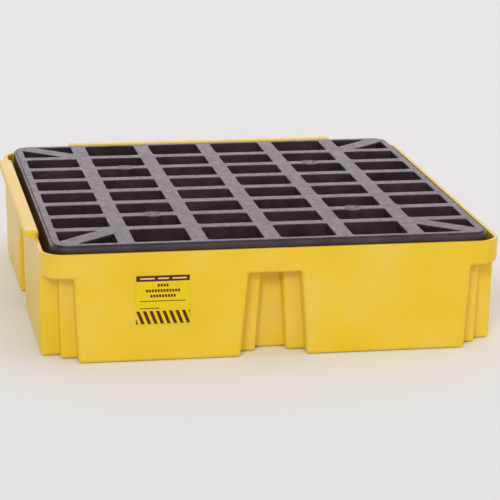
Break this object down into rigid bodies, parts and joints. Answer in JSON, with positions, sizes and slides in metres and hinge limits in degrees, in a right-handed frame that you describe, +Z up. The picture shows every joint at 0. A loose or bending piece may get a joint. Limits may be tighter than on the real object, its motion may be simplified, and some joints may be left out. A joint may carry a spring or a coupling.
{
  "type": "spill containment pallet",
  "caption": "Low square spill tray with linking lips and a lift-out slotted deck grate carried on its ledges and on posts.",
  "frame": {"origin": "on the floor, under the middle of the whole outline", "axes": "+Z up, -Y towards the labelled front wall, +X to the right seen from the front"},
  "size_m": [0.659, 0.6732, 0.165],
  "materials": {
    "sump_polyethylene": "satin moulded, safety yellow",
    "grate_polyethylene": "satin moulded, black",
    "post_plastic": "matt moulded, black",
    "peg_plastic": "satin moulded, black",
    "label_vinyl": "printed vinyl, yellow with dark band and stripes"
  },
  "bodies": {
    "sump": {"spill_sump": "sump_polyethylene", "info_label": "label_vinyl"},
    "grate": {"deck_grate": "grate_polyethylene", "support_post_front_left": "post_plastic", "support_post_front_right": "post_plastic", "support_post_back_left": "post_plastic", "support_post_back_right": "post_plastic", "post_peg_front_left": "peg_plastic", "post_peg_front_right": "peg_plastic", "post_peg_back_left": "peg_plastic", "post_peg_back_right": "peg_plastic"}
  },
  "joints": [
    {"name": "grate_lift", "type": "slide", "parent": "sump", "child": "grate", "axis": [0, 0, 1], "range_m": [0, 0.2]}
  ]
}
